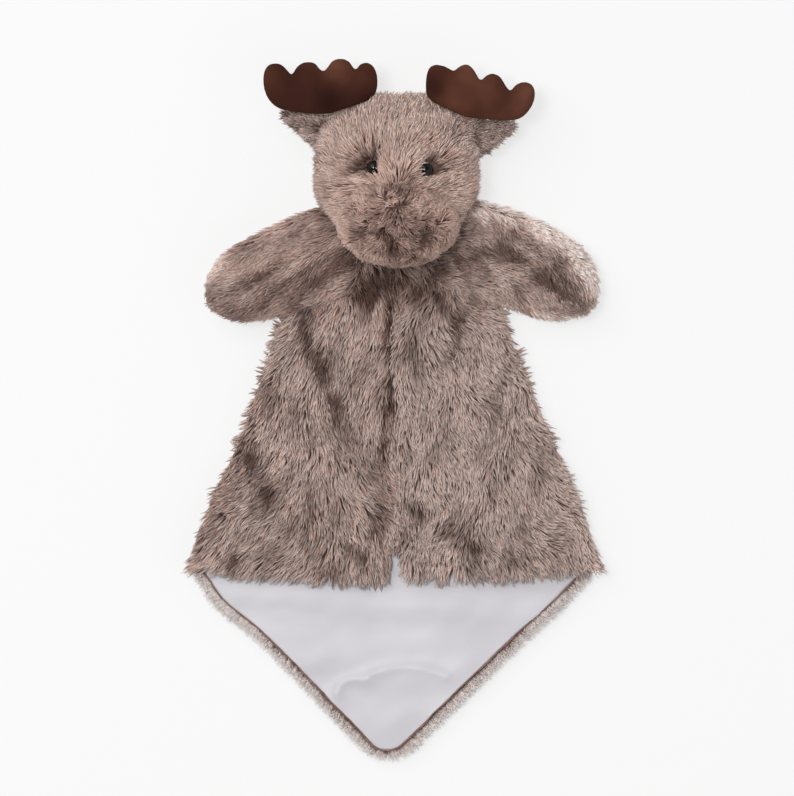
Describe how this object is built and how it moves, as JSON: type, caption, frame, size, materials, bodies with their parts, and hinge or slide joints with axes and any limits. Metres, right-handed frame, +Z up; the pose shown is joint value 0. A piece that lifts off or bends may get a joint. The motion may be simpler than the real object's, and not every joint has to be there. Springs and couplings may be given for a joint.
{
  "type": "comfort blanket lovey",
  "caption": "Small plush moose comforter: stuffed head with antlers, ears and arms on a folded faux-fur blanket lined with satin, lying on its back.",
  "frame": {"origin": "on the flat back of the blanket, at the middle of the square that it was cut from, with the lovey lying on its back", "axes": "+Z up out of the face, +Y towards the antlers, +X towards the viewer's right"},
  "size_m": [0.208, 0.3552, 0.067],
  "materials": {
    "fur": "matte",
    "satin": "satin",
    "hem": "matte",
    "suede": "matte",
    "thread": "matte",
    "fibre_fill": "matte",
    "eye": "gloss",
    "washer": "matte"
  },
  "bodies": {
    "blanket": {"back_fur": "fur", "back_satin": "satin", "hem_roll": "hem", "chest_fur_left": "fur", "chest_satin_left": "satin", "chest_fur_right": "fur", "chest_satin_right": "satin"},
    "flap_left": {"flap_fur_left": "fur", "flap_satin_left": "satin"},
    "flap_right": {"flap_fur_right": "fur", "flap_satin_right": "satin"},
    "head": {"head_cover": "fur", "head_fill": "fibre_fill", "neck_disc": "fur", "neck_thread": "thread", "muzzle_cover": "fur", "muzzle_fill": "fibre_fill", "nostril_stitch_left": "thread", "nostril_stitch_right": "thread", "eye_left": "eye", "eye_right": "eye", "eye_washer_left": "washer", "eye_washer_right": "washer"},
    "arm_left": {"arm_cover_left": "fur", "arm_fill_left": "fibre_fill"},
    "arm_right": {"arm_cover_right": "fur", "arm_fill_right": "fibre_fill"},
    "ear_left": {"ear_front_left": "fur", "ear_back_left": "fur"},
    "ear_right": {"ear_front_right": "fur", "ear_back_right": "fur"},
    "antler_left": {"antler_front_left": "suede", "antler_back_left": "suede", "antler_fill_left": "fibre_fill"},
    "antler_right": {"antler_front_right": "suede", "antler_back_right": "suede", "antler_fill_right": "fibre_fill"}
  },
  "joints": [
    {"name": "flap_left_open", "type": "hinge", "parent": "blanket", "child": "flap_left", "pos_m": [-0.05178, 0.00239, 0.0145], "axis": [-0.565, -0.8251, 0], "range_deg": [0, 160]},
    {"name": "flap_right_open", "type": "hinge", "parent": "blanket", "child": "flap_right", "pos_m": [0.05178, 0.00239, 0.0145], "axis": [-0.565, 0.8251, 0], "range_deg": [0, 160]},
    {"name": "head_lift", "type": "hinge", "parent": "blanket", "child": "head", "pos_m": [0.0018, 0.088, 0.015], "axis": [1, 0, 0], "range_deg": [0, 45]},
    {"name": "arm_left_lift", "type": "hinge", "parent": "blanket", "child": "arm_left", "pos_m": [-0.04976, 0.083, 0.01157], "axis": [0.3256, 0.9455, 0], "range_deg": [0, 60]},
    {"name": "arm_right_lift", "type": "hinge", "parent": "blanket", "child": "arm_right", "pos_m": [0.04976, 0.083, 0.01157], "axis": [0.3256, -0.9455, 0], "range_deg": [0, 60]},
    {"name": "ear_left_flop", "type": "hinge", "parent": "head", "child": "ear_left", "pos_m": [-0.0355, 0.146, 0.0195], "axis": [0.4695, 0.8829, 0], "range_deg": [-15, 25]},
    {"name": "ear_right_flop", "type": "hinge", "parent": "head", "child": "ear_right", "pos_m": [0.0395, 0.145, 0.0195], "axis": [0.2756, -0.9613, 0], "range_deg": [-15, 25]},
    {"name": "antler_left_flop", "type": "hinge", "parent": "head", "child": "antler_left", "pos_m": [-0.01931, 0.1608, 0.031], "axis": [1, 0, 0], "range_deg": [-12, 25]},
    {"name": "antler_right_flop", "type": "hinge", "parent": "head", "child": "antler_right", "pos_m": [0.02546, 0.15957, 0.031], "axis": [0.9863, -0.165, 0], "range_deg": [-12, 25]}
  ]
}
